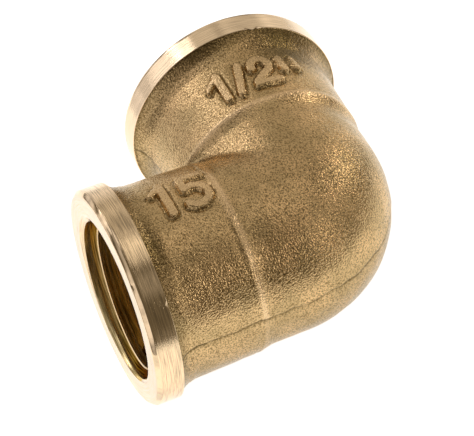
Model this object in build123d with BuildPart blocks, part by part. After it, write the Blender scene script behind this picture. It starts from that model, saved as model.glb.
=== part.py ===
"""Threaded 90 degree elbow, G 1/2 female to G 1/2 female, as one brass casting.

Both ports run out from the crossing of their axes: one along +X, one along +Y.
The elbow lies on its side, so the plane of the two axes is level and +Z is up.
The origin is the bottom centre of the elbow's bounding box.  Lengths are in millimetres.
"""

from build123d import *
import math
import os

# G 1/2 parallel pipe thread (ISO 228): the bore is left at its tapping size
THREAD_MINOR_DIAMETER = 18.631
THREAD_BORE_DEPTH = 15.0
MOUTH_CHAMFER_DIAMETER = 21.5
MOUTH_CHAMFER_DEPTH = 1.0

# Overall size of the casting
CENTRE_TO_FACE = 26.0
BEND_RADIUS = 4.75
BEND_DIAMETER = 24.1

# Waterway, drilled from both ports until the two drillings meet behind the corner
WATERWAY_DIAMETER = 17.0
WATERWAY_PAST_CENTRE = 1.0
DRILL_POINT_ANGLE = 118.0

# Cast barrels between the bend and the collars
BARREL_START = 11.3
BARREL_START_DIAMETER = 24.7
BARREL_END_DIAMETER = 25.2
SHOULDER_LENGTH = 0.8
FLARE_LENGTH = 2.8
FLARE_END_DIAMETER = 27.3

# Turned collars at the ports
COLLAR_DIAMETER = 28.0
COLLAR_WIDTH = 3.4
COLLAR_CHAMFER = 0.45

collar_back = CENTRE_TO_FACE - COLLAR_WIDTH
flare_start = collar_back - FLARE_LENGTH
bore_end = CENTRE_TO_FACE - THREAD_BORE_DEPTH
point_slope = math.tan(math.radians(DRILL_POINT_ANGLE / 2))
waterway_start = bore_end - (THREAD_MINOR_DIAMETER - WATERWAY_DIAMETER) / 2 / point_slope
waterway_point = -WATERWAY_PAST_CENTRE - WATERWAY_DIAMETER / 2 / point_slope

# The crossing of the port axes, measured from the bottom centre of the bounding box
crossing_offset = (CENTRE_TO_FACE - COLLAR_DIAMETER / 2) / 2
crossing = Vector(-crossing_offset, -crossing_offset, COLLAR_DIAMETER / 2)

# One sketch plane for each port: its x runs out along the port, its y is up
port_planes = [
    Plane(origin=crossing, x_dir=(1, 0, 0), z_dir=(0, -1, 0)),
    Plane(origin=crossing, x_dir=(0, 1, 0), z_dir=(1, 0, 0)),
]

# The bend turns about a vertical pivot that both barrels leave at a tangent
pivot = crossing + Vector(BEND_RADIUS, BEND_RADIUS, 0)
bend_plane = Plane(origin=pivot, x_dir=(-1, 0, 0), z_dir=(0, 1, 0))


def port_outside(plane):
    """Sketch half of a port's outer outline, from the end of the bend to the face."""
    with BuildSketch(plane) as outline:
        with BuildLine():
            to_shoulder = Polyline(
                (BEND_RADIUS, 0),
                (BEND_RADIUS, BEND_DIAMETER / 2),
                (BARREL_START - SHOULDER_LENGTH, BEND_DIAMETER / 2),
                (BARREL_START, BARREL_START_DIAMETER / 2),
            )
            barrel = Line(to_shoulder @ 1, (flare_start, BARREL_END_DIAMETER / 2))
            flare = TangentArc(
                barrel @ 1,
                (collar_back, FLARE_END_DIAMETER / 2),
                tangent=barrel % 1,
            )
            Polyline(
                flare @ 1,
                (collar_back, COLLAR_DIAMETER / 2),
                (CENTRE_TO_FACE - COLLAR_CHAMFER, COLLAR_DIAMETER / 2),
                (CENTRE_TO_FACE, COLLAR_DIAMETER / 2 - COLLAR_CHAMFER),
                (CENTRE_TO_FACE, 0),
                (BEND_RADIUS, 0),
            )
        make_face()
    return outline.sketch


def port_inside(plane):
    """Sketch half of a port's machined outline: drill point, waterway, thread bore and mouth."""
    with BuildSketch(plane) as outline:
        with BuildLine():
            Polyline(
                (waterway_point, 0),
                (-WATERWAY_PAST_CENTRE, WATERWAY_DIAMETER / 2),
                (waterway_start, WATERWAY_DIAMETER / 2),
                (bore_end, THREAD_MINOR_DIAMETER / 2),
                (CENTRE_TO_FACE - MOUTH_CHAMFER_DEPTH, THREAD_MINOR_DIAMETER / 2),
                (CENTRE_TO_FACE, MOUTH_CHAMFER_DIAMETER / 2),
                (CENTRE_TO_FACE, 0),
                close=True,
            )
        make_face()
    return outline.sketch


def port_axis(plane):
    """Give the centre line of the port that this sketch plane belongs to."""
    return Axis(plane.origin, plane.x_dir)


with BuildPart() as elbow_body:
    # The bend's round section is cut off at the pivot, because it is wider than the bend radius
    with BuildSketch(bend_plane):
        with Locations((BEND_RADIUS, 0)):
            Circle(BEND_DIAMETER / 2)
        with Locations((-BEND_DIAMETER, 0)):
            Rectangle(2 * BEND_DIAMETER, 2 * BEND_DIAMETER, mode=Mode.SUBTRACT)
    revolve(axis=Axis(pivot, (0, 0, 1)), revolution_arc=90)
    for plane in port_planes:
        revolve(port_outside(plane), axis=port_axis(plane))
    for plane in port_planes:
        revolve(port_inside(plane), axis=port_axis(plane), mode=Mode.SUBTRACT)

os.makedirs("parts", exist_ok=True)
elbow_body.part.label = "elbow_body"
export_step(elbow_body.part, "parts/elbow_body.step")
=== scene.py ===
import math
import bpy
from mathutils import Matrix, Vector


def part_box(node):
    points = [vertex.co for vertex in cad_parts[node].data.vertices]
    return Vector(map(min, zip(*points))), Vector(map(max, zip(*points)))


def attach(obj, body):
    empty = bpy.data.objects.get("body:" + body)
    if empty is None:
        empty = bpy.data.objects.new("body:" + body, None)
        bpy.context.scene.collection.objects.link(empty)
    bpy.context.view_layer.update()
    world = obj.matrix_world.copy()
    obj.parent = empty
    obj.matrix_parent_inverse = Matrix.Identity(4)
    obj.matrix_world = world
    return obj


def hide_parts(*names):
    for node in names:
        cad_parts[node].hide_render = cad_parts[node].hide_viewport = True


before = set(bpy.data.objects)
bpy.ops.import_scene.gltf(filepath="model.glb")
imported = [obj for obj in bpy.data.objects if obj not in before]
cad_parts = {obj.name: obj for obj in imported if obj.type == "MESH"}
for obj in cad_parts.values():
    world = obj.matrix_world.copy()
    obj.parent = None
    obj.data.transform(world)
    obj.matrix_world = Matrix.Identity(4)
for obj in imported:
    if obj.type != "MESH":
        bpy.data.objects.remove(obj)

# A cast brass pipe elbow with a threaded socket on each of its two legs. The whole
# elbow is one closed mesh, built in millimetres from the crossing of its two port
# axes. Each leg is worked out along +Y, and the second leg is the mirror of the first.

from types import SimpleNamespace

import bpy
import numpy as np
from mathutils import Matrix, Vector

MM = 0.001

# Sizes shared with the CAD, in mm.
CENTRE_TO_FACE = 26.0
BEND_RADIUS = 4.75
TUBE_RADIUS = 12.05
BARREL_START = 11.3
BARREL_START_RADIUS = 12.35
BARREL_END_RADIUS = 12.6
COLLAR_WIDTH = 3.4
COLLAR_CHAMFER = 0.45
FLARE_LENGTH = 2.8
THREAD_MINOR_RADIUS = 9.3155
THREAD_BORE_DEPTH = 15.0
MOUTH_RADIUS = 10.75
MOUTH_CHAMFER_DEPTH = 1.0
WATERWAY_RADIUS = 8.5
WATERWAY_PAST_CENTRE = 1.0
DRILL_POINT_LENGTH = WATERWAY_RADIUS / math.tan(math.radians(59.0))
FLARE_END = CENTRE_TO_FACE - COLLAR_WIDTH
FLARE_START = FLARE_END - FLARE_LENGTH
THREAD_END = CENTRE_TO_FACE - THREAD_BORE_DEPTH

# Sizes that the CAD leaves out or has otherwise, in mm. Angles are in degrees round a leg,
# from its top.
FLARE_END_RADIUS = {"y": 13.65, "x": 13.86}
THREAD_PITCH = 1.814
THREAD_DEPTH = 1.162
RIDGE_START = 10.55
RIDGE_SOFTNESS = {"y": 1.45, "x": 1.7}
RAMP_UP_TO = 1.5
STEP_FROM = 1.65
VALLEY_BLEND = 0.75
CORNER_SOFTNESS = 0.6
LOWER_HALF_DROP = 0.3
RIB_HEIGHT = 0.05
RIB_WIDTH = 0.22
GROOVE_DEPTH = 0.09
GROOVE_AT = 11.75
STEP_HEIGHT = 0.10
STEP_WIDTH = 0.40
HOLLOW_DEPTH = 0.16
HOLLOW_AT = 9.3
HOLLOW_WIDTH = 1.2
FLARE_RIB_HEIGHT = 0.07
FLARE_RIB_AT = 20.7
FLARE_RIB_WIDTH = 0.35
RAG_HEIGHT = 0.06
RAG_LENGTH = 0.7
RAG_SPAN = 80.0
SEAM_ANGLE = 87.5
SEAM_WANDER = 0.5
SEAM_JITTER = 0.25
SEAM_DEPTH = 0.15
SEAM_WIDTH = 0.15
LIP_HEIGHT = 0.05
LIP_AT = -0.35
LIP_WIDTH = 0.3
UNDER_SEAM_DROP = 0.05
MARK_LIMIT = 60.0
FAR_FROM_MARK = 9.0
MARK_RELIEF = 0.5
MARK_RAGS = 0.05
MOAT_DEPTH = 0.07
MOAT_AT = 0.30
MOAT_WIDTH = 0.14
COLLAR_EDGE = 0.035
COLLAR_UNEVEN = 0.03
COLLAR_FOOT = {"y": 0.30, "x": 0.06}
COLLAR_LUMP_ANGLE = 4.5
WATERWAY_CHAMFER = 0.25

# Flaws of the collars' edges: where each one lies and how wide it is, in degrees.
NICK = (-40.5, 1.4)
CHIP = (-54.5, 1.3)
BURR = (-15.0, 1.5)

# Lumps of the cast skin: their height and size in mm and their seed.
SKIN_LUMPS = [(0.050, 4.3, 11), (0.030, 1.7, 12)]
FINE_SKIN_LUMPS = (0.020, 0.75, 13)

# Noise along a line: where on its line each one starts, its size in mm and its seed.
SEAM_WANDER_NOISE = (40.0, 3.6, 5)
SEAM_JITTER_NOISE = (80.0, 1.1, 6)
SEAM_BREAK_NOISE = (120.0, 1.3, 7)
RIB_WEAR_NOISE = (60.0, 2.1, 21)
COLLAR_EDGE_NOISE = (90.0, 1.0, 31)
RAG_START = 11.0
RAG_SIZE = 1.6
RAG_SEED = 8

# The mesh's grid: rows run round a leg, columns along it. The columns' steps and angles
# are in degrees. A pair of angles is where a change starts and where it ends.
FIXED_ROWS_END = 13.4
FLARE_ROWS_END = 19.0
FLARE_ROWS = 13
BARREL_ROWS = 45
BEND_ROWS = 55
ANGLE_STEP = 0.05
COARSE_STEP = 2.1
FINE_STEP = 0.55
SEAM_STEP = 0.6
MARKS_FROM = (-42.0, -37.0)
MARKS_TO = (27.0, 32.0)
BESIDE_SEAM = (1.2, 4.0)
SEAM_PULL = (3.0, 14.0)

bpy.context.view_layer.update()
low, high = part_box("elbow_body")
COLLAR_RADIUS = (high[2] - low[2]) / 2 / MM
crossing = Vector((
    high[0] - CENTRE_TO_FACE * MM,
    high[1] - CENTRE_TO_FACE * MM,
    (low[2] + high[2]) / 2,
))


# ---------------------------------------------------------------- small helpers

def ease(value, start, end):
    """0 up to start, 1 from end on, and a smooth step between them."""
    share = np.clip((value - start) / (end - start), 0.0, 1.0)
    return share * share * (3.0 - 2.0 * share)


def hump(value, centre, width):
    """1 at centre, falling off on both sides over about width."""
    return np.exp(-(((value - centre) / width) ** 2))


# Large factors that scatter the numbers of neighbouring cells.
CELL_FACTORS = (73856093, 19349663, 83492791)
SEED_FACTOR = 2654435761
MIXING_FACTOR = 1274126177


def lattice(cell, seed):
    """A repeatable number from -1 to 1 for each whole-numbered cell."""
    mixed = seed * SEED_FACTOR
    for axis, factor in enumerate(CELL_FACTORS):
        mixed = mixed ^ cell[..., axis] * factor
    mixed = (mixed ^ (mixed >> 13)) * MIXING_FACTOR
    mixed = mixed ^ (mixed >> 16)
    return (mixed & 0xFFFF) / 32767.5 - 1.0


def lumps(points, size, seed):
    """Smooth noise from -1 to 1 at points in mm, with lumps about size mm across."""
    scaled = points / size
    cell = np.floor(scaled).astype(np.int64)
    part = scaled - cell
    part = part * part * (3.0 - 2.0 * part)
    total = np.zeros(points.shape[:-1])
    for corner in np.ndindex(2, 2, 2):
        share = np.ones(points.shape[:-1])
        for axis in range(3):
            share = share * (part[..., axis] if corner[axis] else 1.0 - part[..., axis])
        total += share * lattice(cell + np.array(corner), seed)
    return total


def wander(along, start, size, seed):
    """Noise from -1 to 1 along a line through the lumps."""
    points = np.stack([
        along + start,
        np.full_like(along, 0.37),
        np.full_like(along, 0.71),
    ], axis=-1)
    return lumps(points, size, seed)


def stroke(u, v, start, end, half_width):
    """How far each point is outside a thick line with round ends, in mm."""
    run = np.subtract(end, start)
    share = ((u - start[0]) * run[0] + (v - start[1]) * run[1]) / float(run @ run)
    share = np.clip(share, 0.0, 1.0)
    return np.hypot(u - start[0] - share * run[0], v - start[1] - share * run[1]) - half_width


def bowl(u, v, centre, radius, start_deg, end_deg, half_width):
    """How far each point is outside a thick arc with round ends, in mm."""
    corner_count = 9
    angles = np.radians(np.linspace(start_deg, end_deg, corner_count))
    corners = [(centre[0] + radius * math.cos(a), centre[1] + radius * math.sin(a)) for a in angles]
    parts = [stroke(u, v, *pair, half_width) for pair in zip(corners, corners[1:])]
    return np.minimum.reduce(parts)


# ---------------------------------------------------------------- raised size marks

def half_inch_mark(u, v):
    """Distance outside the plain thread size, one half inch, with u to the right and v up."""
    parts = [
        stroke(u, v, (-3.60, 13.55), (-3.60, 17.75), 0.58),
        stroke(u, v, (-3.90, 17.45), (-5.15, 16.60), 0.36),
        stroke(u, v, (-5.15, 16.60), (-5.35, 16.20), 0.30),
        stroke(u, v, (-1.80, 13.45), (-0.58, 17.80), 0.56),
        bowl(u, v, (2.00, 16.75), 1.16, 190, -38, 0.58),
        stroke(u, v, (2.95, 15.95), (0.75, 14.15), 0.58),
        stroke(u, v, (0.60, 13.72), (3.70, 13.80), 0.48),
        stroke(u, v, (4.82, 17.55), (5.00, 15.60), 0.58),
        stroke(u, v, (6.72, 17.50), (7.08, 15.95), 0.48),
    ]
    return np.minimum.reduce(parts)


def bore_mark(u, v):
    """Distance outside the plain nominal bore, 15, centred on 0, 0."""
    parts = [
        stroke(u, v, (-1.55, -2.1), (-1.55, 2.1), 0.52),
        stroke(u, v, (-1.70, 1.85), (-2.75, 1.05), 0.36),
        stroke(u, v, (0.75, 2.12), (2.85, 2.12), 0.46),
        stroke(u, v, (0.70, 2.05), (0.62, 0.35), 0.46),
        bowl(u, v, (1.45, -0.75), 1.38, 118, -140, 0.48),
    ]
    return np.minimum.reduce(parts)


# Where the marks lie: the radius they are laid out on and, for the second one, where its
# middle is along and round the leg, in mm, and how much larger than drawn it is.
HALF_INCH_RADIUS = 12.75
BORE_MARK_RADIUS = 12.6
BORE_MARK_ALONG = 15.6
BORE_MARK_ROUND = 0.6
BORE_MARK_SCALE = 1.2


def mark_distance(leg, along, columns):
    """Distance outside a leg's raised mark, in mm."""
    if leg == "x":
        return half_inch_mark(-columns * HALF_INCH_RADIUS, along)
    u = BORE_MARK_ALONG - along
    v = columns * BORE_MARK_RADIUS - BORE_MARK_ROUND
    return BORE_MARK_SCALE * bore_mark(u / BORE_MARK_SCALE, v / BORE_MARK_SCALE)


# ---------------------------------------------------------------- one leg's shape

def tube_path(theta, along):
    """Centre line point and outward direction of a leg's wall, and where the wall ends.

    theta turns from +Z towards +X. The wall's line runs straight along +Y towards the
    crossing and then round a vertical axis to the plane halfway between the legs.
    """
    lateral = TUBE_RADIUS * np.sin(theta)
    reach = lateral + VALLEY_BLEND
    turn_at = (BEND_RADIUS + reach + np.sqrt((reach - BEND_RADIUS) ** 2 + CORNER_SOFTNESS ** 2)) / 2
    radius = turn_at - lateral
    swing = np.maximum(turn_at - along, 0.0) / radius
    swing = np.minimum(swing, math.pi / 4)
    inward = np.stack([np.cos(swing), np.sin(swing), np.zeros_like(swing)], axis=-1)
    base = np.stack([
        turn_at - radius * np.cos(swing),
        np.where(swing > 0.0, turn_at - radius * np.sin(swing), along),
        TUBE_RADIUS * np.cos(theta),
    ], axis=-1)
    upward = np.zeros_like(inward)
    upward[..., 2] = 1.0
    outward = np.sin(theta)[..., None] * inward + np.cos(theta)[..., None] * upward
    end = turn_at - radius * math.pi / 4
    return base, outward, end


def wall_radius(leg, along, softness):
    """Radius of the cast wall from the bend, over the ridge and barrel, to the flare's end.

    With little softness the ridge is a straight ramp, with more of it a smooth step.
    """
    radii = [BARREL_START_RADIUS, BARREL_END_RADIUS]
    barrel = np.interp(along, [BARREL_START, FLARE_START], radii)
    step = ease(along, BARREL_START - softness, BARREL_START + 0.3 * softness - 0.2)
    ramp = np.clip((along - BARREL_START + softness) / (softness + 0.1), 0.0, 1.0)
    step = step + (ramp - step) * ease(softness, STEP_FROM, RAMP_UP_TO)
    radius = TUBE_RADIUS + (barrel - TUBE_RADIUS) * step
    into_flare = np.clip((along - FLARE_START) / FLARE_LENGTH, 0.0, 1.0)
    return radius + (FLARE_END_RADIUS[leg] - BARREL_END_RADIUS) * into_flare ** 2


def column_angles():
    """Angles of the grid's columns, closer together under the marks and at the seam."""
    degrees = np.arange(-180.0, 180.0, ANGLE_STEP)
    step = np.full_like(degrees, COARSE_STEP)
    marks = ease(degrees, *MARKS_FROM) * (1.0 - ease(degrees, *MARKS_TO))
    step += (FINE_STEP - COARSE_STEP) * marks
    for seam in (-SEAM_ANGLE, SEAM_ANGLE):
        near = 1.0 - ease(np.abs(degrees - seam), *BESIDE_SEAM)
        step += (SEAM_STEP - COARSE_STEP) * near
    passed = np.concatenate([[0.0], np.cumsum(ANGLE_STEP / step)])
    count = 4 * int(round(passed[-1] / 4))
    wanted = np.arange(count) / count * passed[-1]
    return np.radians(np.interp(wanted, passed, np.append(degrees, 180.0)))


def wall_grid(leg, to_world):
    """The leg's smooth wall as a grid of points, with what its details are worked out from."""
    fixed = np.concatenate([
        np.linspace(FLARE_END, FLARE_ROWS_END, FLARE_ROWS)[:-1],
        np.linspace(FLARE_ROWS_END, FIXED_ROWS_END, BARREL_ROWS),
    ])
    # The other rows reach to the halfway plane, and lie a little closer together at first.
    share = np.linspace(0.0, 1.0, BEND_ROWS)[1:]
    share = share * (0.7 + 0.3 * share)
    theta = column_angles()
    _, _, end = tube_path(theta, np.full_like(theta, FIXED_ROWS_END))
    rows = [np.full_like(theta, s) for s in fixed]
    rows += [FIXED_ROWS_END + (end - FIXED_ROWS_END) * t for t in share]
    along = np.array(rows)
    path = along - end

    # The columns beside the parting line follow its wander.
    side = 1.0 if leg == "y" else -1.0
    drift = SEAM_WANDER * wander(side * path, *SEAM_WANDER_NOISE)
    drift = drift + SEAM_JITTER * wander(side * path, *SEAM_JITTER_NOISE)
    drift = drift * ease(path, 0.0, 1.5)
    columns = np.broadcast_to(theta, along.shape).copy()
    for seam in (-SEAM_ANGLE, SEAM_ANGLE):
        near = 1.0 - ease(np.abs(np.degrees(theta) - seam), *SEAM_PULL)
        columns += np.sign(-seam) * near * drift / TUBE_RADIUS

    base, outward, _ = tube_path(columns, along)
    softness = RIDGE_SOFTNESS["y"]
    softness = softness + (RIDGE_SOFTNESS[leg] - RIDGE_SOFTNESS["y"]) * ease(path, 0.0, 3.0)
    radius = wall_radius(leg, along, softness)
    plain = base + (radius - TUBE_RADIUS)[..., None] * outward
    place = to_world(plain)
    clear = ease(path, 0.0, 2.0)
    away = mark_distance(leg, along, columns)
    away = np.where(np.abs(np.degrees(columns)) < MARK_LIMIT, away, FAR_FROM_MARK)
    return SimpleNamespace(
        leg=leg,
        theta=theta,
        side=side,
        along=along,
        columns=columns,
        turn=np.degrees(columns),
        plain=plain,
        outward=outward,
        place=place,
        clear=clear,
        worn=clear * (0.75 + 0.25 * wander(columns * TUBE_RADIUS, *RIB_WEAR_NOISE)),
        off_seam=(np.abs(theta) - np.radians(SEAM_ANGLE)) * TUBE_RADIUS,
        broken=0.72 + 0.28 * wander(side * path, *SEAM_BREAK_NOISE),
        away=away + MARK_RAGS * lumps(place, 0.5, 14),
    )


def wall_relief(wall):
    """Height of a wall's details over the smooth wall, in mm."""
    along = wall.along

    # The lower half of the casting is a little flatter than the upper one.
    below = np.maximum(-np.cos(wall.columns), 0.0)
    height = -LOWER_HALF_DROP * below ** 2 * (1.0 - ease(along, 9.0, RIDGE_START))

    # Where a barrel starts, one leg has a narrow rib with a groove behind it, and the
    # other a broad hollow below a soft step.
    if wall.leg == "y":
        rib = RIB_HEIGHT * wall.worn * hump(along, BARREL_START, RIB_WIDTH)
        groove = GROOVE_DEPTH * wall.worn * hump(along, GROOVE_AT, RIB_WIDTH)
        height += rib - groove
    else:
        step = STEP_HEIGHT * hump(along, BARREL_START, STEP_WIDTH)
        hollow = HOLLOW_DEPTH * hump(along, HOLLOW_AT, HOLLOW_WIDTH)
        height += wall.clear * (step - hollow)

    # Uneven cast skin, calmer next to the turned collar.
    calm = 1.0 - 0.5 * ease(along, 21.0, FLARE_END)
    for tall, size, seed in SKIN_LUMPS:
        height += tall * lumps(wall.place, size, seed) * calm
    tall, size, seed = FINE_SKIN_LUMPS
    height += tall * lumps(wall.place, size, seed)

    # The parting line: a shallow crack with the upper half's lip over it.
    off_seam = wall.off_seam
    height -= SEAM_DEPTH * wall.broken * hump(off_seam, 0.0, SEAM_WIDTH)
    height += LIP_HEIGHT * hump(off_seam, LIP_AT, LIP_WIDTH) * (0.5 + 0.5 * wall.broken)
    height -= UNDER_SEAM_DROP * ease(off_seam, 0.0, 0.4) * (1.0 - ease(off_seam, 3.0, 6.0))

    # A faint rib where the flare starts.
    height += FLARE_RIB_HEIGHT * hump(along, FLARE_RIB_AT, FLARE_RIB_WIDTH)

    # The raised mark on top, in a shallow moat.
    height += MARK_RELIEF * (1.0 - ease(wall.away, -0.10, 0.16))
    height -= MOAT_DEPTH * hump(wall.away, MOAT_AT, MOAT_WIDTH)

    # The flare's end is left a little ragged by the cutting tool.
    round_leg = wall.turn / 360.0 * RAG_SPAN
    ragged = RAG_HEIGHT * wander(round_leg, wall.side * RAG_START, RAG_SIZE, RAG_SEED)
    return height + ragged * ease(along, FLARE_END - RAG_LENGTH, FLARE_END)


# Dirt and painted shade, from 0 for none: how much there is of each patch. Some patches are painted
# shade, some are dirt, and some are both.
MARK_FOOT_SHADE = 0.6
TOP_DARKENING = 0.27
TOP_DARKENING_AT = (1.5, 3.5, 12.0)
TOP_DARKENING_SIZE = 6.5
LOWER_DARKENING = 0.32
VALLEY_SHADE = 0.34
CRACK_SOIL = 1.1
UNDER_LIP_SHADE = 0.42
FLARE_EDGE_SHADE = 0.7
FLARE_SOIL_AND_SHADE = 0.72
GROOVE_SHADE = 0.2

# A patch of dirt and painted shade on top of each flare: how much of it there is, its middle and
# width in degrees round the leg, and where it sets in and is full along the leg, in mm.
FLARE_DIRT_AND_SHADE_PATCH = {"y": (0.76, -25.0, 26.0, 19.4, 21.3), "x": (0.78, -30.0, 24.0, 15.5, 19.0)}


def wall_soil_and_shade(wall):
    """How much each point of a wall is darkened by dirt and by painted shade."""
    along = wall.along
    x = wall.place[..., 0]
    y = wall.place[..., 1]
    off_seam = wall.off_seam
    top_patch = hump(np.linalg.norm(wall.place - np.array(TOP_DARKENING_AT), axis=-1), 0.0, TOP_DARKENING_SIZE)
    lower = 1.0 - ease(wall.place[..., 2], -2.0, 5.0)

    # The valley is where the legs meet, so x and y are about the same and both large. It gets
    # painted shade.
    valley = hump(x - y, -0.6, 2.3) * ease(x + y, 8.0, 14.0)
    uneven = 0.75 + 0.25 * lumps(wall.place, 2.3, 41)
    patches = [
        # Painted shade in a ring round the foot of the raised marks.
        MARK_FOOT_SHADE * hump(wall.away, 0.22, 0.15),
        # A darker patch on top of the bend, and darker towards the bottom.
        TOP_DARKENING * top_patch + LOWER_DARKENING * lower,
        VALLEY_SHADE * valley,
        CRACK_SOIL * wall.broken * hump(off_seam, 0.02, 0.16),
        # Painted shade in a band under the lip of the parting line.
        UNDER_LIP_SHADE * hump(off_seam, 0.25, 0.45),
        # Painted shade in the corner where the flare meets the collar's back.
        FLARE_EDGE_SHADE * hump(along, FLARE_END, 0.35),
        # Dirt and painted shade next to the collar.
        FLARE_SOIL_AND_SHADE * ease(along, 19.6, FLARE_END) * uneven,
    ]
    # A patch of dirt and painted shade on top of the flare.
    much, middle, width, start, full = FLARE_DIRT_AND_SHADE_PATCH[wall.leg]
    patches.append(much * hump(wall.turn, middle, width) * ease(along, start, full))
    # Painted shade in the groove behind the rib.
    if wall.leg == "y":
        patches.append(GROOVE_SHADE * wall.clear * hump(along, GROOVE_AT, RIB_WIDTH))
    return np.maximum.reduce(np.broadcast_arrays(*patches))


# Wear that leaves brighter brass on the marks, and a painted highlight with some wear on
# the ridges, from 0 for none; for the ridges, also where it lies along a leg, in mm.
MARK_RUBBED = 0.5
RIDGE_SHEEN_AND_WEAR = {"y": (1.25, 10.9), "x": (0.8, 11.2)}
RIDGE_SHEEN_AND_WEAR_WIDTH = 0.4


def wall_wear_and_sheen(wall):
    """How much each point of a wall is lightened: wear on the marks' tops, and a painted highlight
    with wear on the ridges.
    """
    mark = MARK_RUBBED * (1.0 - ease(wall.away, -0.3, 0.0))
    # The ridges get a painted highlight, with some wear.
    much, ridge_at = RIDGE_SHEEN_AND_WEAR[wall.leg]
    if wall.leg == "y":
        much = much * (1.0 - 0.7 * ease(wall.off_seam, -0.5, 0.5)) * wall.worn
    else:
        much = much * wall.clear
    return np.maximum(mark, much * hump(wall.along, ridge_at, RIDGE_SHEEN_AND_WEAR_WIDTH))


def cast_surface(leg, to_world):
    """Grid of points on a leg's cast wall, with how much dirt and painted shade and how much wear
    and painted highlight each one has.
    """
    wall = wall_grid(leg, to_world)
    points = wall.plain + wall_relief(wall)[..., None] * wall.outward
    return points, wall_soil_and_shade(wall), wall_wear_and_sheen(wall), wall.theta


def collar_rows(leg, theta):
    """Rings of the turned collar from its back edge to the mouth, as (axial, radius) pairs."""
    edge = COLLAR_EDGE
    back = FLARE_END
    face = CENTRE_TO_FACE
    chamfer = face - COLLAR_CHAMFER
    inner_edge = COLLAR_RADIUS - COLLAR_CHAMFER
    turn = np.degrees(theta)

    # The edges are a little uneven. One collar has a nick in front and a chip behind,
    # and the other has a small burr behind.
    uneven = COLLAR_UNEVEN * wander(turn / COLLAR_LUMP_ANGLE, *COLLAR_EDGE_NOISE) - COLLAR_UNEVEN
    nick = np.zeros_like(turn)
    chip = np.zeros_like(turn)
    burr = np.zeros_like(turn)
    if leg == "y":
        nick = hump(turn, *NICK)
        chip = hump(turn, *CHIP)
    else:
        burr = hump(turn, *BURR)
    return [
        (back, COLLAR_RADIUS - COLLAR_FOOT[leg]),
        (back + 0.02 - 0.22 * burr, COLLAR_RADIUS - edge - 0.25 * chip),
        (back + 0.06 + 0.3 * chip, COLLAR_RADIUS),
        (back + 0.6, COLLAR_RADIUS),
        (chamfer - 0.4, COLLAR_RADIUS),
        (chamfer - edge + uneven, COLLAR_RADIUS),
        (chamfer + edge + uneven, COLLAR_RADIUS - edge),
        (face - edge - 0.22 * nick, inner_edge + edge + uneven),
        (face, inner_edge - edge + uneven - 0.28 * nick),
        (face, inner_edge - 0.5),
        (face, MOUTH_RADIUS + 0.8),
    ]


def ring(theta, along, radius):
    """Points of one ring round a leg along +Y."""
    along = np.broadcast_to(along, theta.shape)
    radius = np.broadcast_to(radius, theta.shape)
    return np.stack([radius * np.sin(theta), along, radius * np.cos(theta)], axis=-1)


def mouth_radius(along):
    """Radius of the countersink at a distance along the leg."""
    narrowing = (MOUTH_RADIUS - THREAD_MINOR_RADIUS) * (CENTRE_TO_FACE - along)
    return MOUTH_RADIUS - narrowing / MOUTH_CHAMFER_DEPTH


# The thread's rows, in mm along the leg from the middle of a crest: its crest, which is
# flat for CREST_HALF_WIDTH on both sides, a bright edge, the flank and the root. The
# thread sets in and is full at two distances from the bore's end.
CREST_HALF_WIDTH = 0.16
THREAD_ROWS = (-0.160, 0.000, 0.160, 0.250, 0.747, 0.854, 0.960, 1.067)
THREAD_FADE = (0.6, 2.6)


def thread_height(phase):
    """Share of the thread's depth at each phase of a turn, measured from a crest."""
    flat = CREST_HALF_WIDTH / THREAD_PITCH
    near = np.abs((phase + 0.5) % 1.0 - 0.5)
    rise = np.clip((near - flat) / (0.5 - 2 * flat), 0.0, 1.0)
    rounded = rise + 0.035 * np.sin(2 * math.pi * rise)
    return np.clip(rounded, 0.0, 1.0)


def thread_surface(theta, hand):
    """Grid of points on the threaded bore. Its rows follow the thread round the bore."""
    first_turn = math.floor(THREAD_END / THREAD_PITCH) - 1
    last_turn = math.ceil(CENTRE_TO_FACE / THREAD_PITCH)
    turns = np.arange(first_turn, last_turn + 1)
    lines = (turns[:, None] * THREAD_PITCH + np.array(THREAD_ROWS)[None, :]).ravel()
    lift = hand * THREAD_PITCH * theta / (2 * math.pi)
    along = lines[:, None] + lift[None, :]
    along = np.clip(along, THREAD_END, CENTRE_TO_FACE)
    phase = (along - lift[None, :]) / THREAD_PITCH
    fade = ease(along, THREAD_END + THREAD_FADE[0], THREAD_END + THREAD_FADE[1])
    radius = THREAD_MINOR_RADIUS + THREAD_DEPTH * thread_height(phase) * fade
    radius = np.maximum(radius, mouth_radius(along))
    return ring(np.broadcast_to(theta, along.shape), along, radius)


def waterway_surface(theta):
    """Grid of points on the drilled waterway, from the end of the thread to the halfway plane."""
    start = THREAD_END - WATERWAY_CHAMFER
    rows = [
        ring(theta, THREAD_END, THREAD_MINOR_RADIUS),
        ring(theta, THREAD_END, WATERWAY_RADIUS + WATERWAY_CHAMFER),
        ring(theta, start, WATERWAY_RADIUS),
    ]
    sine = np.sin(theta)
    wall_end = np.maximum(WATERWAY_RADIUS * sine, -WATERWAY_PAST_CENTRE)
    for share in np.linspace(0.0, 1.0, 9)[1:]:
        rows.append(ring(theta, start + (wall_end - start) * share, WATERWAY_RADIUS))
    slope = WATERWAY_RADIUS / DRILL_POINT_LENGTH
    tip = -WATERWAY_PAST_CENTRE - DRILL_POINT_LENGTH
    cone_end = -slope * sine * tip / (1.0 - slope * sine)
    cone_end = np.where(WATERWAY_RADIUS * sine < -WATERWAY_PAST_CENTRE, cone_end, wall_end)
    for share in (0.5, 1.0):
        along = wall_end + (cone_end - wall_end) * share
        on_cone = along < -WATERWAY_PAST_CENTRE
        radius = np.where(on_cone, slope * (along - tip), WATERWAY_RADIUS)
        rows.append(ring(theta, along, radius))
    return np.array(rows)


# ---------------------------------------------------------------- the mesh

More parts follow.
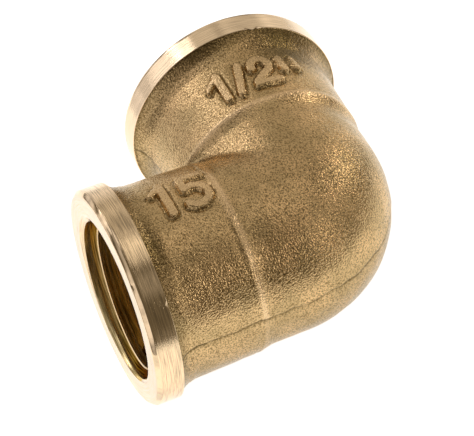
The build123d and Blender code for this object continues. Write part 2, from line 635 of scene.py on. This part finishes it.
# Material slots of the first leg. The second leg's machined slots are LEG_SLOTS higher.
CAST_SLOT = 0
TURNED_SLOT = 1
BORED_SLOT = 2
THREAD_SLOT = 3
SHADED_FLANK_SLOT = 4
LEG_SLOTS = 4

# The slot of the faces after each of THREAD_ROWS: half a crest, its other half and its
# bright edge, the flank that faces the mouth, and the rest. Only the turns nearest to
# the mouth have the flank's own material, which is dark with painted shade.
THREAD_ROW_SLOTS = (THREAD_SLOT, BORED_SLOT, BORED_SLOT, SHADED_FLANK_SLOT) + (THREAD_SLOT,) * 4
SHADED_FLANK_TURNS = 3

# The ring of faces round a countersink, in mm, and how far from its cone a face may lie
# to count as part of it.
MOUTH_EDGE = 0.25
MOUTH_MARGIN = 0.04

WELD_STEPS_PER_MM = 2e5
SHARP_ANGLE = 40.0


class Shell:
    """Collects points and faces of the elbow."""

    def __init__(self):
        self.points = []
        self.soil_and_shade = []
        self.wear_and_sheen = []
        self.faces = []
        self.slots = []
        self.count = 0

    def add(self, points, soil_and_shade=None, wear_and_sheen=None):
        """Adds a grid of points and returns its numbers in the same shape."""
        flat = points.reshape(-1, 3)
        number = np.arange(self.count, self.count + len(flat)).reshape(points.shape[:-1])
        self.points.append(flat)
        self.soil_and_shade.append(np.zeros(len(flat)) if soil_and_shade is None else soil_and_shade.ravel())
        self.wear_and_sheen.append(np.zeros(len(flat)) if wear_and_sheen is None else wear_and_sheen.ravel())
        self.count += len(flat)
        return number

    def keep(self, faces, slot, flip):
        """Adds faces, turned over where the leg is not mirrored."""
        for face in faces:
            self.faces.append(face if flip else face[::-1])
            self.slots.append(slot)


def add_grid(shell, number, slot, flip, inward_rows):
    """Quads between the rows of a closed grid.

    inward_rows is True where the rows run on from the collar's back.
    """
    following = np.roll(number, -1, axis=1)
    if inward_rows:
        quads = np.stack([number[:-1], number[1:], following[1:], following[:-1]], axis=-1)
    else:
        quads = np.stack([number[:-1], following[:-1], following[1:], number[1:]], axis=-1)
    shell.keep(quads.reshape(-1, 4).tolist(), slot, flip)


def add_thread(shell, number, flip, hand):
    """Quads between the thread's rows. The last column joins the first one a turn up or down."""
    per_turn = len(THREAD_ROWS)
    top_row = len(number) - 1
    for r in range(top_row):
        other = r + hand * per_turn
        low_row = min(max(other, 0), top_row)
        high_row = min(max(other + 1, 0), top_row)
        following_low = np.append(number[r, 1:], number[low_row, 0])
        following_high = np.append(number[r + 1, 1:], number[high_row, 0])
        quads = np.stack([number[r], following_low, following_high, number[r + 1]], axis=-1)
        slot = THREAD_ROW_SLOTS[r % per_turn]
        if slot == SHADED_FLANK_SLOT and r < len(number) - SHADED_FLANK_TURNS * per_turn:
            slot = THREAD_SLOT
        shell.keep(quads.tolist(), slot, flip)


def add_face_ring(shell, outer, inner, flip):
    """Faces between the collar's last ring and one with half as many points."""
    faces = []
    for k, here in enumerate(inner):
        following = inner[(k + 1) % len(inner)]
        middle = outer[2 * k + 1]
        last = outer[(2 * k + 2) % len(outer)]
        faces.append([outer[2 * k], here, middle])
        faces.append([middle, here, following, last])
    shell.keep(faces, TURNED_SLOT, flip)


def leg_mesh(shell, leg):
    """Adds one leg to the shell."""
    flip = leg == "x"
    hand = -1 if flip else 1

    def to_world(points):
        return points[..., [1, 0, 2]] if flip else points

    points, soil_and_shade, wear_and_sheen, theta = cast_surface(leg, to_world)
    cast = shell.add(to_world(points), soil_and_shade, wear_and_sheen)
    add_grid(shell, cast, CAST_SLOT, flip, False)

    rings = [ring(theta, along, radius) for along, radius in collar_rows(leg, theta)]
    collar = shell.add(to_world(np.array(rings)))
    add_grid(shell, np.stack([cast[0], collar[0]]), CAST_SLOT, flip, True)
    add_grid(shell, collar, TURNED_SLOT, flip, True)

    # The bore has half as many columns as the outside.
    inner = theta[::2]
    thread = shell.add(to_world(thread_surface(inner, hand)))
    add_thread(shell, thread, flip, hand)

    mouth = shell.add(to_world(np.stack([
        ring(inner, CENTRE_TO_FACE, MOUTH_RADIUS + MOUTH_EDGE),
        ring(inner, CENTRE_TO_FACE, MOUTH_RADIUS),
    ])))
    add_face_ring(shell, collar[-1].tolist(), mouth[0].tolist(), flip)
    add_grid(shell, mouth, TURNED_SLOT, flip, True)

    waterway = shell.add(to_world(waterway_surface(inner)))
    add_grid(shell, waterway, BORED_SLOT, flip, True)


def welded(shell):
    """Points and faces with the points that coincide made one."""
    points = np.concatenate(shell.points)
    soil_and_shade = np.concatenate(shell.soil_and_shade)
    wear_and_sheen = np.concatenate(shell.wear_and_sheen)
    keys = np.round(points * WELD_STEPS_PER_MM).astype(np.int64)
    _, first, number = np.unique(keys, axis=0, return_index=True, return_inverse=True)
    number = number.ravel()
    faces = []
    slots = []
    for face, slot in zip(shell.faces, shell.slots):
        corners = []
        for corner in face:
            n = int(number[corner])
            if n not in corners:
                corners.append(n)
        if len(corners) > 2:
            faces.append(corners)
            slots.append(slot)
    return points[first], soil_and_shade[first], wear_and_sheen[first], faces, slots


shell = Shell()
leg_mesh(shell, "y")
leg_mesh(shell, "x")
points, soil_and_shade, wear_and_sheen, faces, slots = welded(shell)

mesh = bpy.data.meshes.new("elbow_casting")
mesh.from_pydata([tuple(p * MM + np.array(crossing)) for p in points], [], faces)
mesh.polygons.foreach_set("use_smooth", [True] * len(faces))
for name, values in (("soil_and_shade", soil_and_shade), ("wear_and_sheen", wear_and_sheen)):
    layer = mesh.attributes.new(name, "FLOAT", "POINT")
    layer.data.foreach_set("value", values)
mesh.update()
mesh.set_sharp_from_angle(angle=math.radians(SHARP_ANGLE))
elbow = bpy.data.objects.new("elbow_casting", mesh)
bpy.context.scene.collection.objects.link(elbow)


# ---------------------------------------------------------------- shader helpers

def new_metal(name):
    """A metal made of nodes: the material, its node tree and its Principled shader."""
    material = bpy.data.materials.new(name)
    material.use_nodes = True
    tree = material.node_tree
    tree.nodes.clear()
    output = node(tree, "ShaderNodeOutputMaterial")
    shader = node(tree, "ShaderNodeBsdfPrincipled")
    shader.inputs["Metallic"].default_value = 1.0
    link(tree, shader.outputs["BSDF"], output.inputs["Surface"])
    return material, tree, shader


def link(tree, source, target):
    """Joins an output socket to an input socket."""
    tree.links.new(source, target)


def node(tree, kind, **settings):
    """A new node of a kind, with some of its properties set."""
    made = tree.nodes.new(kind)
    for name, value in settings.items():
        setattr(made, name, value)
    return made


def maths(tree, operation, first, second=None):
    """The result of a Math node on sockets or plain numbers."""
    made = node(tree, "ShaderNodeMath", operation=operation)
    for slot, value in enumerate((first, second)):
        if value is None:
            continue
        if isinstance(value, (int, float)):
            made.inputs[slot].default_value = value
        else:
            link(tree, value, made.inputs[slot])
    return made.outputs[0]


def blend_colour(tree, factor, first, second):
    """A mix of two colours, which are plain or sockets. It is the first one where factor is 0."""
    made = node(tree, "ShaderNodeMix", data_type="RGBA")
    link(tree, factor, made.inputs[0])
    for slot, value in ((6, first), (7, second)):
        if isinstance(value, tuple):
            made.inputs[slot].default_value = (*value, 1.0)
        else:
            link(tree, value, made.inputs[slot])
    return made.outputs[2]


def remap(tree, value, from_low, from_high, to_low, to_high):
    """A value carried from one range to another, and held at its ends."""
    made = node(tree, "ShaderNodeMapRange")
    link(tree, value, made.inputs[0])
    for slot, limit in enumerate((from_low, from_high, to_low, to_high), start=1):
        made.inputs[slot].default_value = limit
    return made.outputs[0]


def millimetres(tree):
    """Object coordinates in mm from the crossing."""
    where = node(tree, "ShaderNodeTexCoord").outputs["Object"]
    offset = node(tree, "ShaderNodeVectorMath", operation="SUBTRACT")
    offset.inputs[1].default_value = crossing
    link(tree, where, offset.inputs[0])
    scaled = node(tree, "ShaderNodeVectorMath", operation="SCALE")
    scaled.inputs["Scale"].default_value = 1.0 / MM
    link(tree, offset.outputs[0], scaled.inputs[0])
    return scaled.outputs[0]


def noise_of(tree, where, scale, detail, roughness=0.5):
    """Noise from 0 to 1 at where, with about scale lumps to each unit of it."""
    made = node(tree, "ShaderNodeTexNoise")
    made.inputs["Scale"].default_value = scale
    made.inputs["Detail"].default_value = detail
    made.inputs["Roughness"].default_value = roughness
    link(tree, where, made.inputs["Vector"])
    return made.outputs["Fac"]


def attribute(tree, name):
    """A number that the mesh holds for each of its points."""
    made = node(tree, "ShaderNodeAttribute", attribute_name=name)
    return made.outputs["Fac"]


def bumped(tree, shader, height, strength, distance):
    """Roughens a shader's surface with a bump, whose distance is in metres."""
    bump = node(tree, "ShaderNodeBump")
    bump.inputs["Strength"].default_value = strength
    bump.inputs["Distance"].default_value = distance
    link(tree, height, bump.inputs["Height"])
    link(tree, bump.outputs["Normal"], shader.inputs["Normal"])


def added(tree, first, second):
    """Two shaders added together."""
    made = node(tree, "ShaderNodeAddShader")
    link(tree, first, made.inputs[0])
    link(tree, second, made.inputs[1])
    return made.outputs[0]


# ---------------------------------------------------------------- materials

# Colours of the cast brass: two shades of its skin, its dark grains, the brighter brass
# of wear and painted highlight, the dark of dirt and painted shade, and the tint that it has at a
# grazing angle.
CAST_PALE = (0.82, 0.565, 0.28)
CAST_OLIVE = (0.61, 0.435, 0.212)
CAST_GRAINS = (0.27, 0.175, 0.066)
CAST_WEAR_AND_SHEEN = (1.0, 0.72, 0.41)
CAST_SOIL_AND_SHADE = (0.105, 0.076, 0.024)
CAST_EDGE = (0.87, 0.86, 0.82)
GRIT_PER_MM = 4.6
SPECKS_PER_MM = 5.0
PATCHES_PER_MM = 0.22
CAST_BUMP = 0.000085

# The dark, pale and grazing colours of the thread and of its outer flanks, which are
# darkened as painted shade, and how many of the tap's lines there are to a mm.
THREAD_COLOURS = ((0.38, 0.29, 0.12), (1.0, 0.80, 0.42), (0.90, 0.72, 0.44))
SHADED_FLANK_COLOURS = ((0.10, 0.065, 0.022), (0.36, 0.245, 0.095), (0.17, 0.12, 0.055))
TAP_LINES_ALONG = 9.0
TAP_LINES_ACROSS = 0.25

# Turned brass: its colour, its roughness, how strong its tool lines are, and how bright
# the lines' dark side is against the pale one. Then the lines' number to a mm.
TURNED_BRASS = {
    "x": ((0.96, 0.75, 0.50), 0.10, 0.3, 0.76),
    "y": ((0.98, 0.75, 0.47), 0.10, 0.4, 0.55),
}
BORED_BRASS = ((0.90, 0.66, 0.37), 0.2, 0.25, 0.66)
TOOL_LINES_ALONG = 10.0
TOOL_LINES_ACROSS = 0.3
TOOL_BUMP = 0.00004


def cast_brass():
    """Sand-blasted cast brass: olive tan, grainy and sparkling, darker in its corners from painted
    shade and some dirt, lighter on its ridges from painted highlight and wear.
    """
    material, tree, shader = new_metal("cast_brass")
    where = millimetres(tree)
    grit = noise_of(tree, where, GRIT_PER_MM, 1.5, 0.6)
    speck = noise_of(tree, where, SPECKS_PER_MM, 1.5, 0.6)
    patch = noise_of(tree, where, PATCHES_PER_MM, 2.0)
    soil_and_shade = attribute(tree, "soil_and_shade")
    wear_and_sheen = attribute(tree, "wear_and_sheen")

    skin = blend_colour(tree, remap(tree, patch, 0.35, 0.65, 0.0, 1.0), CAST_PALE, CAST_OLIVE)
    clean = maths(tree, "SUBTRACT", speck, maths(tree, "MULTIPLY", soil_and_shade, 0.16))
    colour = blend_colour(tree, remap(tree, clean, 0.33, 0.50, 0.0, 1.0), CAST_GRAINS, skin)
    # Wear on the marks and a painted highlight on the ridges lighten the brass.
    colour = blend_colour(tree, maths(tree, "MULTIPLY", wear_and_sheen, 0.85), colour, CAST_WEAR_AND_SHEEN)
    # Dirt and painted shade darken the brass towards a dark brown.
    colour = blend_colour(tree, maths(tree, "POWER", soil_and_shade, 1.4), colour, CAST_SOIL_AND_SHADE)
    link(tree, colour, shader.inputs["Base Color"])
    shader.inputs["Specular Tint"].default_value = (*CAST_EDGE, 1.0)
    link(tree, remap(tree, speck, 0.3, 0.7, 0.19, 0.12), shader.inputs["Roughness"])
    bumped(tree, shader, grit, 1.0, CAST_BUMP)
    return material


def thread_brass(name, axis, dark, pale, edge):
    """Brass with the lines of a tap round a port's axis, which is 0 for X and 1 for Y.

    dark and pale are its two shades, and edge is its tint at a grazing angle.
    """
    material, tree, shader = new_metal(name)
    stretch = node(tree, "ShaderNodeVectorMath", operation="MULTIPLY")
    scales = [TAP_LINES_ACROSS] * 3
    scales[axis] = TAP_LINES_ALONG
    stretch.inputs[1].default_value = scales
    link(tree, millimetres(tree), stretch.inputs[0])
    lines = noise_of(tree, stretch.outputs[0], 1.0, 2.0, 0.6)
    shade = blend_colour(tree, remap(tree, lines, 0.38, 0.60, 0.0, 1.0), dark, pale)
    link(tree, shade, shader.inputs["Base Color"])
    link(tree, remap(tree, lines, 0.38, 0.60, 0.34, 0.24), shader.inputs["Roughness"])
    shader.inputs["Specular Tint"].default_value = (*edge, 1.0)
    return material


def turned_brass(name, axis, colour, roughness, lines, contrast):
    """Bright brass with tool lines round a port's axis, which is 0 for X and 1 for Y."""
    material, tree, shader = new_metal(name)
    split = node(tree, "ShaderNodeSeparateXYZ")
    link(tree, millimetres(tree), split.inputs[0])
    along = split.outputs[axis]
    across = split.outputs[1 - axis]
    upward = split.outputs[2]
    across_squared = maths(tree, "MULTIPLY", across, across)
    upward_squared = maths(tree, "MULTIPLY", upward, upward)
    radius = maths(tree, "SQRT", maths(tree, "ADD", across_squared, upward_squared))
    feed = maths(tree, "ADD", along, radius)
    turned = node(tree, "ShaderNodeCombineXYZ")
    link(tree, maths(tree, "MULTIPLY", feed, TOOL_LINES_ALONG), turned.inputs[0])
    link(tree, maths(tree, "MULTIPLY", across, TOOL_LINES_ACROSS), turned.inputs[1])
    link(tree, maths(tree, "MULTIPLY", upward, TOOL_LINES_ACROSS), turned.inputs[2])
    fine = noise_of(tree, turned.outputs[0], 1.0, 3.0, 0.6)
    broad = noise_of(tree, turned.outputs[0], 0.35, 1.0)

    dim = tuple(contrast * c for c in colour)
    shade = blend_colour(tree, remap(tree, fine, 0.35, 0.58, 0.0, 1.0), dim, colour)
    link(tree, shade, shader.inputs["Base Color"])
    rough = remap(tree, broad, 0.3, 0.7, roughness * 0.85, roughness * 1.2)
    link(tree, rough, shader.inputs["Roughness"])
    bumped(tree, shader, fine, lines, TOOL_BUMP)
    return material


# The materials go in the order of the slots.
mesh.materials.append(cast_brass())
for port, axis in (("y", 1), ("x", 0)):
    mesh.materials.append(turned_brass("turned_brass_" + port, axis, *TURNED_BRASS[port]))
    mesh.materials.append(turned_brass("bored_brass_" + port, axis, *BORED_BRASS))
    mesh.materials.append(thread_brass("thread_brass_" + port, axis, *THREAD_COLOURS))
    # The flanks nearest the mouths are painted dark as shade.
    mesh.materials.append(thread_brass("shaded_flank_brass_" + port, axis, *SHADED_FLANK_COLOURS))

# The countersinks at the mouths are turned as well, and the second leg takes the
# materials whose tool lines run round its own axis.
centres = np.empty(len(mesh.polygons) * 3)
mesh.polygons.foreach_get("center", centres)
centres = (centres.reshape(-1, 3) - np.array(crossing)) / MM
reach = centres[:, :2].max(axis=1)
across = centres[:, :2].min(axis=1)
radii = np.hypot(across, centres[:, 2])
index = np.array(slots)
in_mouth = (index > TURNED_SLOT) & (reach > CENTRE_TO_FACE - MOUTH_CHAMFER_DEPTH)
in_mouth = in_mouth & (radii < mouth_radius(reach) + MOUTH_MARGIN)
index = np.where(in_mouth, TURNED_SLOT, index)
second_leg = (centres[:, 0] > centres[:, 1]) & (index > CAST_SLOT)
index = np.where(second_leg, index + LEG_SLOTS, index)
mesh.polygons.foreach_set("material_index", index.astype(int).tolist())

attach(elbow, "root")
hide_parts("elbow_body")


# ---------------------------------------------------------------- floor

# The floor's sizes are in metres: how far it goes past the part's box on three sides,
# where it ends behind, and how far it lies below the part.
FLOOR_IN_FRONT = 0.066
FLOOR_ON_RIGHT = 0.100
FLOOR_ON_LEFT = 0.025
FLOOR_END = 1.2
FLOOR_GAP = 0.00002

# Its own light: to the camera it is almost white. In a mirror or through glass it is
# brightest near the part, and fades between two distances from its middle, in metres.
# The middle lies as far past the crossing along X as along Y.
FLOOR_COLOUR = (0.8, 0.8, 0.8, 1.0)
FLOOR_IN_VIEW = 0.90
FLOOR_MIDDLE = 0.03
FLOOR_NEAR = 0.06
FLOOR_FAR = 0.22
FLOOR_NEAR_GLOW = 0.88
FLOOR_FAR_GLOW = 0.32

front = low[0] - FLOOR_IN_FRONT
right_side = low[1] - FLOOR_ON_RIGHT
left_side = high[1] + FLOOR_ON_LEFT
floor_mesh = bpy.data.meshes.new("floor")
corners = [
    (front, right_side, 0),
    (FLOOR_END, right_side, 0),
    (FLOOR_END, left_side, 0),
    (front, left_side, 0),
]
floor_mesh.from_pydata(corners, [], [(0, 1, 2, 3)])
floor = bpy.data.objects.new("floor", floor_mesh)
floor.location.z = low[2] - FLOOR_GAP
bpy.context.scene.collection.objects.link(floor)

floor_material = bpy.data.materials.new("white_floor")
floor_material.use_nodes = True
tree = floor_material.node_tree
tree.nodes.clear()
output = node(tree, "ShaderNodeOutputMaterial")
matt = node(tree, "ShaderNodeBsdfDiffuse")
matt.inputs["Color"].default_value = FLOOR_COLOUR
glow = node(tree, "ShaderNodeEmission")
path = node(tree, "ShaderNodeLightPath")
mirrored = maths(tree, "MAXIMUM", path.outputs["Is Glossy Ray"], path.outputs["Is Transmission Ray"])
away = node(tree, "ShaderNodeVectorMath", operation="DISTANCE")
link(tree, node(tree, "ShaderNodeTexCoord").outputs["Object"], away.inputs[0])
away.inputs[1].default_value = (crossing.x + FLOOR_MIDDLE, crossing.y + FLOOR_MIDDLE, 0.0)
fading = remap(tree, away.outputs["Value"], FLOOR_NEAR, FLOOR_FAR, FLOOR_NEAR_GLOW, FLOOR_FAR_GLOW)
fading = maths(tree, "MULTIPLY", mirrored, fading)
in_view = maths(tree, "MULTIPLY", path.outputs["Is Camera Ray"], FLOOR_IN_VIEW)
link(tree, maths(tree, "ADD", in_view, fading), glow.inputs["Strength"])
link(tree, added(tree, matt.outputs[0], glow.outputs[0]), output.inputs["Surface"])
floor_mesh.materials.append(floor_material)


# ---------------------------------------------------------------- light

# The room is white to the camera and through glass. To the object it is a dim warm room
# with daylight from a window behind, and softer lamp light. Each light is a round patch:
# its azimuth and elevation, the angles of its outer and inner edges, and its strength.
ROOM = (1.0, 0.84, 0.60)
ROOM_STRENGTH = 0.135
DAYLIGHT = (1.0, 0.97, 1.02)
DAYLIGHT_PATCHES = [
    ("window", 25, 40, 11.0, 6.0, 1.45),
    ("window_core", 24, 27, 8.0, 3.0, 4.00),
    ("window_low", 44, 23, 16.0, 8.0, 1.10),
    ("behind", 0, 4, 24.0, 8.0, 0.50),
    ("behind_left", 48, -16, 17.0, 9.0, 0.72),
    ("left_mid", 50, 4, 12.0, 4.0, 0.72),
    ("behind_mid", 26, -5, 14.0, 5.0, 0.70),
    ("left", 84, 38, 32.0, 12.0, 0.36),
    ("left_low", 108, -4, 34.0, 14.0, 0.80),
    ("left_front", 140, 8, 24.0, 8.0, 0.60),
    ("top_back", 40, 70, 16.0, 5.0, 0.85),
]
LAMPS = (1.0, 0.93, 0.86)
LAMP_PATCHES = [
    ("high", 350, 27, 18.0, 8.0, 0.33),
    ("high_back", 6, 48, 17.0, 6.0, 0.50),
    ("high_mid", 343, 44, 10.0, 4.0, 0.16),
    ("right_low", 347, 0, 15.0, 6.0, 0.27),
    ("right_far", 313, 1, 20.0, 8.0, 0.66),
    ("sky", 319, 32, 26.0, 12.0, 0.44),
    ("side", 255, 22, 18.0, 6.0, 0.50),
    ("side_high", 240, 56, 14.0, 5.0, 0.62),
    ("streak_low", 215, 10, 7.0, 3.0, 1.60),
    ("streak", 216, 23, 8.0, 3.0, 4.00),
    ("streak_high", 232, 40, 9.0, 3.0, 0.55),
    ("front_high", 203, 47, 16.0, 6.0, 0.19),
    ("front_low", 200, -8, 12.0, 4.0, 0.15),
    ("right", 284, 22, 8.0, 3.0, 6.90),
    ("top", 258, 74, 18.0, 8.0, 0.66),
    ("top_right", 300, 70, 14.0, 5.0, 0.36),
    ("top_front", 327, 61, 14.0, 5.0, 0.34),
    ("side_low", 262, -2, 16.0, 6.0, 0.28),
]


def direction(azimuth, elevation):
    """A unit vector at an azimuth from +X towards +Y and an elevation, in degrees."""
    a = math.radians(azimuth)
    e = math.radians(elevation)
    return Vector((math.cos(a) * math.cos(e), math.sin(a) * math.cos(e), math.sin(e)))


def background(tree, colour, strength):
    """A world background, with a plain number or a socket for its strength."""
    made = node(tree, "ShaderNodeBackground")
    made.inputs["Color"].default_value = (*colour, 1.0)
    if isinstance(strength, float):
        made.inputs["Strength"].default_value = strength
    else:
        link(tree, strength, made.inputs["Strength"])
    return made.outputs[0]


def patch_light(tree, look, patches, total):
    """Adds the strength of every patch, seen in the direction look, to total."""
    for name, azimuth, elevation, outer, inner, strength in patches:
        dot = node(tree, "ShaderNodeVectorMath", operation="DOT_PRODUCT", label=name)
        link(tree, look, dot.inputs[0])
        dot.inputs[1].default_value = direction(azimuth, elevation)
        falloff = node(tree, "ShaderNodeMapRange", interpolation_type="SMOOTHSTEP")
        link(tree, dot.outputs["Value"], falloff.inputs[0])
        falloff.inputs[1].default_value = math.cos(math.radians(outer))
        falloff.inputs[2].default_value = math.cos(math.radians(inner))
        falloff.inputs[3].default_value = 0.0
        falloff.inputs[4].default_value = strength
        total = maths(tree, "ADD", falloff.outputs[0], total)
    return total


world = bpy.data.worlds.new("studio")
bpy.context.scene.world = world
world.use_nodes = True
tree = world.node_tree
tree.nodes.clear()
look = node(tree, "ShaderNodeTexCoord").outputs["Generated"]
path = node(tree, "ShaderNodeLightPath")
seen = maths(tree, "MAXIMUM", path.outputs["Is Camera Ray"], path.outputs["Is Transmission Ray"])
room = background(tree, ROOM, ROOM_STRENGTH)
daylight = background(tree, DAYLIGHT, patch_light(tree, look, DAYLIGHT_PATCHES, seen))
lamps = background(tree, LAMPS, patch_light(tree, look, LAMP_PATCHES, 0.0))
output = node(tree, "ShaderNodeOutputWorld")
link(tree, added(tree, room, added(tree, daylight, lamps)), output.inputs["Surface"])


# ---------------------------------------------------------------- camera

# The camera is 427 mm from the crossing and has a long lens. It looks at a point that
# lies a little to the side of the crossing, in mm across and up the picture.
CAMERA_FROM_CROSSING = Vector((-281.2, 103.3, 303.8)) * MM
CAMERA_ROLL = -5.85
SENSOR_WIDTH = 36.0
FOCAL_LENGTH = 262.2
AIM_RIGHT = -8.69
AIM_UP = 1.11

camera_data = bpy.data.cameras.new("camera")
camera_data.sensor_width = SENSOR_WIDTH
camera_data.lens = FOCAL_LENGTH
camera_data.clip_start = 0.01
camera_data.clip_end = 20.0
camera = bpy.data.objects.new("camera", camera_data)
bpy.context.scene.collection.objects.link(camera)
bpy.context.scene.camera = camera
place = crossing + CAMERA_FROM_CROSSING
back = CAMERA_FROM_CROSSING.normalized()
right = Vector((0, 0, 1)).cross(back).normalized()
up = back.cross(right)
roll = Matrix.Rotation(math.radians(CAMERA_ROLL), 3, back)
right = roll @ right
up = roll @ up
aim = crossing + right * AIM_RIGHT * MM + up * AIM_UP * MM
back = (place - aim).normalized()
right = up.cross(back).normalized()
up = back.cross(right)
turn = Matrix((right, up, back)).transposed()
camera.matrix_world = Matrix.Translation(place) @ turn.to_4x4()

bpy.context.scene.view_settings.view_transform = "Standard"
